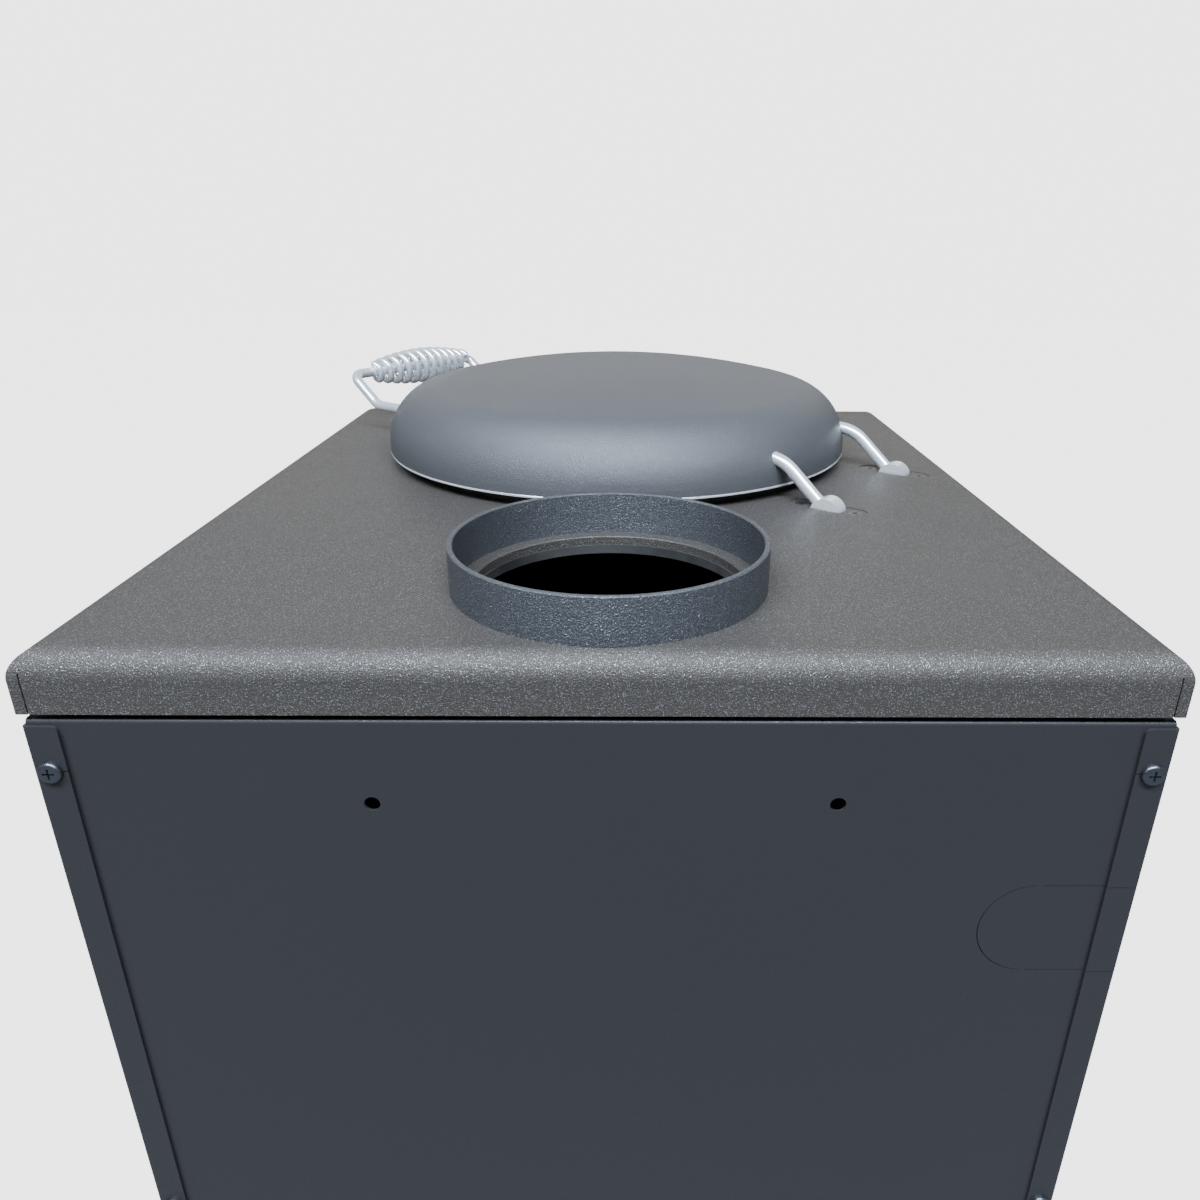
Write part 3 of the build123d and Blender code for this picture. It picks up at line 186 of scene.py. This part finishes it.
def textured_paint(name, dark, light, grain, strength, rough, metallic, level):
    """A pebbled skin with a fine glitter in it and a slow drift in its gloss."""
    m = material(
        name, light, metallic=metallic, roughness=rough[0], Specular_IOR_Level=level
    )
    links = m.node_tree.links
    pebble = noise(m, grain, 3.0)
    glitter = noise(m, grain * GLITTER_FINENESS, 1.0)
    cloud = noise(m, CLOUD_SCALE, 4.0)
    flake = spread(m, glitter, GLITTER_FROM, GLITTER_TO, 0.0, 1.0)
    tint(m, flake, dark, light, 0.0, 1.0)
    bare = spread(m, flake, 0.0, 1.0, metallic, GLITTER_METALLIC)
    links.new(bare, shader_of(m).inputs["Metallic"])
    satin = spread(m, cloud, 0.3, 0.7, *rough)
    gloss = new(m, "ShaderNodeMath", operation="MULTIPLY_ADD")
    gloss.inputs[1].default_value = GLITTER_GLOSS
    links.new(flake, gloss.inputs[0])
    links.new(satin, gloss.inputs[2])
    links.new(gloss.outputs[0], shader_of(m).inputs["Roughness"])
    bump(m, (pebble, strength, PEBBLE_HEIGHT), (glitter, strength, GLITTER_HEIGHT))
    return m


top_paint = textured_paint(
    "top_paint",
    dark=(0.05, 0.044, 0.038),
    light=(0.26, 0.26, 0.27),
    grain=1050,
    strength=0.8,
    rough=(0.42, 0.5),
    metallic=0.25,
    level=0.3,
)
collar_paint = textured_paint(
    "collar_paint",
    dark=(0.048, 0.05, 0.055),
    light=(0.3, 0.315, 0.34),
    grain=1050,
    strength=1.0,
    rough=(0.38, 0.46),
    metallic=0.35,
    level=0.5,
)
lid_paint = textured_paint(
    "lid_paint",
    dark=(0.078, 0.078, 0.081),
    light=(0.2, 0.21, 0.23),
    grain=1500,
    strength=0.6,
    rough=(0.38, 0.45),
    metallic=0.35,
    level=0.4,
)
casing_paint = textured_paint(
    "casing_paint",
    dark=(0.0205, 0.0195, 0.021),
    light=(0.045, 0.046, 0.05),
    grain=900,
    strength=0.1,
    rough=(0.4, 0.48),
    metallic=0.05,
    level=0.35,
)
door_paint = textured_paint(
    "door_paint",
    dark=(0.028, 0.029, 0.031),
    light=(0.13, 0.135, 0.14),
    grain=900,
    strength=0.3,
    rough=(0.42, 0.5),
    metallic=0.3,
    level=0.4,
)

# ---- Bare metals ----
zinc = material("bright_zinc", (0.9, 0.92, 0.94), metallic=0.72, roughness=0.26)
tint(zinc, noise(zinc, 40, 3.0), (0.82, 0.86, 0.9), (0.94, 0.95, 0.95))
shine(zinc, noise(zinc, 90, 3.0), 0.22, 0.32)
bump(zinc, (noise(zinc, 900, 2.0), 0.03, 0.0002))

rim_steel = material("rim_steel", (0.95, 0.96, 0.97), metallic=0.65, roughness=0.2)
tint(rim_steel, noise(rim_steel, 30, 4.0), (0.86, 0.88, 0.9), (0.97, 0.97, 0.97))
shine(rim_steel, noise(rim_steel, 200, 3.0), 0.16, 0.28)
bump(rim_steel, (noise(rim_steel, 900, 2.0), 0.04, 0.0002))

screw_finish = material(
    "screw_black_zinc", (0.09, 0.095, 0.11), metallic=0.9, roughness=0.32
)
shine(screw_finish, noise(screw_finish, 500, 2.0), 0.24, 0.42)
bump(screw_finish, (noise(screw_finish, 1500, 2.0), 0.1, 0.0002))

sheet_steel = material("sheet_steel", (0.5, 0.51, 0.53), metallic=1.0, roughness=0.3)
tint(sheet_steel, noise(sheet_steel, 30, 5.0), (0.4, 0.42, 0.45), (0.62, 0.62, 0.62))
shine(sheet_steel, noise(sheet_steel, 400, 3.0, (1, 1, 0.05)), 0.22, 0.4)
bump(sheet_steel, (noise(sheet_steel, 900, 2.0, (1, 1, 0.04)), 0.12, 0.0002))

cast_iron = material("cast_iron", (0.035, 0.034, 0.034), metallic=0.35, roughness=0.62)
tint(cast_iron, noise(cast_iron, 45, 5.0), (0.02, 0.02, 0.02), (0.055, 0.05, 0.047))
shine(cast_iron, noise(cast_iron, 200, 3.0), 0.5, 0.75)
bump(cast_iron, (noise(cast_iron, 420, 5.0), 0.55, 0.0009))

stove_black = material("stove_black", (0.016, 0.016, 0.017), roughness=0.75)
tint(
    stove_black, noise(stove_black, 25, 5.0), (0.006, 0.006, 0.006), (0.03, 0.028, 0.027)
)
shine(stove_black, noise(stove_black, 120, 3.0), 0.62, 0.9)
bump(stove_black, (noise(stove_black, 500, 3.0), 0.3, 0.0006))

# ---- Brick, rope, wool, plastic and glass ----
fire_brick = material("fire_brick", (0.55, 0.44, 0.3), roughness=0.95)
brick_grit = noise(fire_brick, 240, 6.0)
tint(fire_brick, brick_grit, (0.33, 0.25, 0.16), (0.68, 0.58, 0.43), 0.3, 0.7)
bump(
    fire_brick,
    (noise(fire_brick, 300, 6.0), 0.7, 0.0012),
    (noise(fire_brick, 900, 2.0), 0.4, 0.0005),
)

rope = material("glass_rope", (0.5, 0.48, 0.44), roughness=0.9, Sheen_Weight=0.3)
tint(rope, noise(rope, 700, 3.0), (0.3, 0.29, 0.27), (0.68, 0.66, 0.6))
bump(rope, (noise(rope, 420, 3.0, (1, 1, 2.2)), 0.9, 0.0012))

wool = material("ceramic_wool", (0.78, 0.76, 0.7), roughness=1.0, Sheen_Weight=0.3)
tint(wool, noise(wool, 130, 5.0), (0.62, 0.59, 0.52), (0.85, 0.83, 0.78))
bump(wool, (noise(wool, 260, 6.0), 1.0, 0.002))

knob_black = material("knob_black", (0.014, 0.014, 0.015), roughness=0.35)
shine(knob_black, noise(knob_black, 300, 2.0), 0.28, 0.45)
bump(knob_black, (noise(knob_black, 1200, 2.0), 0.12, 0.0003))

glass = material(
    "door_glass", (0.06, 0.052, 0.045), roughness=0.05, Transmission_Weight=0.85, IOR=1.5
)
tint(glass, noise(glass, 9, 4.0), (0.03, 0.026, 0.022), (0.1, 0.088, 0.075))
shine(glass, noise(glass, 14, 4.0), 0.03, 0.16)

# ---- Materials on the CAD pieces ----
finish_of = {
    "hammered_paint": top_paint,
    "casing_paint": casing_paint,
    "door_paint": door_paint,
    "lid_paint": lid_paint,
    "cast_iron": cast_iron,
    "firebox_steel": stove_black,
    "fire_brick": fire_brick,
    "bright_zinc": zinc,
    "screw_zinc": screw_finish,
    "sheet_steel": sheet_steel,
    "knob_black": knob_black,
    "glass_rope": rope,
    "ceramic_wool": wool,
    "door_glass": glass,
}
for entry in frame["record"]["subparts"]:
    mesh = nodes[entry["node"]].data
    mesh.materials.clear()
    mesh.materials.append(finish_of[entry["material_slot"]])
nodes["flue_collar"].data.materials[0] = collar_paint
nodes["lid_liner"].data.materials[0] = rim_steel

# ---- Coil grips: one wire wound round each rod ----
STEPS_A_TURN = 48
COIL_PITCH = 0.0095
WIRE_RADIUS = 0.00275
END_RADIUS = 0.00655
MIDDLE_RADIUS = 0.01275
LID_TURNS = 11.15
DOOR_TURNS = 7.15


def coil(name, node, axis, turns):
    """A barrel-shaped helix centred in the node's box, its ends tucked in to the rod."""
    low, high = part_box(node)
    centre = (low + high) / 2
    axis = axis.normalized()
    across = Vector((0, 0, 1))
    third = axis.cross(across)
    count = int(turns * STEPS_A_TURN)
    curve = bpy.data.curves.new(name, "CURVE")
    curve.dimensions = "3D"
    curve.bevel_depth = WIRE_RADIUS
    curve.bevel_resolution = 6
    curve.use_fill_caps = True
    spline = curve.splines.new("POLY")
    spline.points.add(count)
    for step in range(count + 1):
        place = 2 * step / count - 1
        radius = END_RADIUS + (MIDDLE_RADIUS - END_RADIUS) * cos(place * pi / 2)
        angle = 2 * pi * step / STEPS_A_TURN
        point = centre + axis * (place * turns * COIL_PITCH / 2)
        point += across * (radius * cos(angle)) + third * (radius * sin(angle))
        spline.points[step].co = (*point, 1)
    piece = bpy.data.objects.new(name, curve)
    bpy.context.scene.collection.objects.link(piece)
    piece.data.materials.append(zinc)
    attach(piece, nodes[node]["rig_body"])
    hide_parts(node)


hinge_axis = Vector(next(j for j in frame["joints"] if j["name"] == "lid_hinge")["axis"])
coil("lid_coil", "lid_grip", hinge_axis, LID_TURNS)
coil("door_coil", "door_grip", Vector((1, 0, 0)), DOOR_TURNS)

# ---- Floor and backdrop ----
PALE_GLOW = 4.2
FLOOR_GLOW_SHARE = 0.8
FLOOR_HALF = 9
FLOOR_DROP = 0.0005
SKY_COLOR = (0.93, 0.96, 1.0, 1)
SKY_STRENGTH = 0.32


def bright_when_seen(tree, shader, kind, share):
    """Mixes in a pale glow that only camera rays see, wherever the camera stands.

    The backdrop is bright and the light on the stove stays as it is.
    """
    pale = tree.nodes.new(kind)
    pale.inputs["Strength"].default_value = PALE_GLOW
    path = tree.nodes.new("ShaderNodeLightPath")
    part = tree.nodes.new("ShaderNodeMath")
    part.operation = "MULTIPLY"
    part.inputs[1].default_value = share
    mix = tree.nodes.new("ShaderNodeMixShader")
    out = next(node for node in tree.nodes if node.type.startswith("OUTPUT"))
    tree.links.new(path.outputs["Is Camera Ray"], part.inputs[0])
    tree.links.new(part.outputs[0], mix.inputs[0])
    tree.links.new(shader.outputs[0], mix.inputs[1])
    tree.links.new(pale.outputs[0], mix.inputs[2])
    tree.links.new(mix.outputs[0], out.inputs["Surface"])


floor_mesh = bpy.data.meshes.new("floor")
floor_corners = [
    (x * FLOOR_HALF, y * FLOOR_HALF, 0) for x, y in ((-1, -1), (1, -1), (1, 1), (-1, 1))
]
floor_mesh.from_pydata(floor_corners, [], [(0, 1, 2, 3)])
floor = bpy.data.objects.new("floor", floor_mesh)
bpy.context.scene.collection.objects.link(floor)
floor_paint = material("floor_paint", (0.16, 0.16, 0.16), roughness=0.8)
tint(floor_paint, noise(floor_paint, 3, 3.0), (0.15, 0.15, 0.15), (0.17, 0.17, 0.17))
bright_when_seen(
    floor_paint.node_tree, shader_of(floor_paint), "ShaderNodeEmission", FLOOR_GLOW_SHARE
)
floor_mesh.materials.append(floor_paint)
floor.location.z = -FLOOR_DROP

world = bpy.data.worlds.new("studio")
bpy.context.scene.world = world
world.use_nodes = True
room = world.node_tree.nodes["Background"]
room.inputs["Color"].default_value = SKY_COLOR
room.inputs["Strength"].default_value = SKY_STRENGTH
bright_when_seen(world.node_tree, room, "ShaderNodeBackground", 1.0)


# ---- Soft studio light ----
def softbox(name, place, target, size, power, color):
    """A rectangular area light aimed at a point."""
    data = bpy.data.lights.new(name, "AREA")
    data.shape = "RECTANGLE"
    data.size, data.size_y = size
    data.energy = power
    data.color = color
    light = bpy.data.objects.new(name, data)
    bpy.context.scene.collection.objects.link(light)
    light.location = place
    aim = Vector(target) - Vector(place)
    light.rotation_euler = aim.to_track_quat("-Z", "Y").to_euler()


softbox(
    "key",
    place=(0.2, 1.6, 3.0),
    target=(0, 0.1, 0.7),
    size=(3.4, 0.7),
    power=420,
    color=(0.74, 0.85, 1.0),
)
softbox(
    "far",
    place=(0.0, -3.2, 2.0),
    target=(0, 0, 0.7),
    size=(4.5, 1.4),
    power=17,
    color=(1.0, 0.93, 0.8),
)
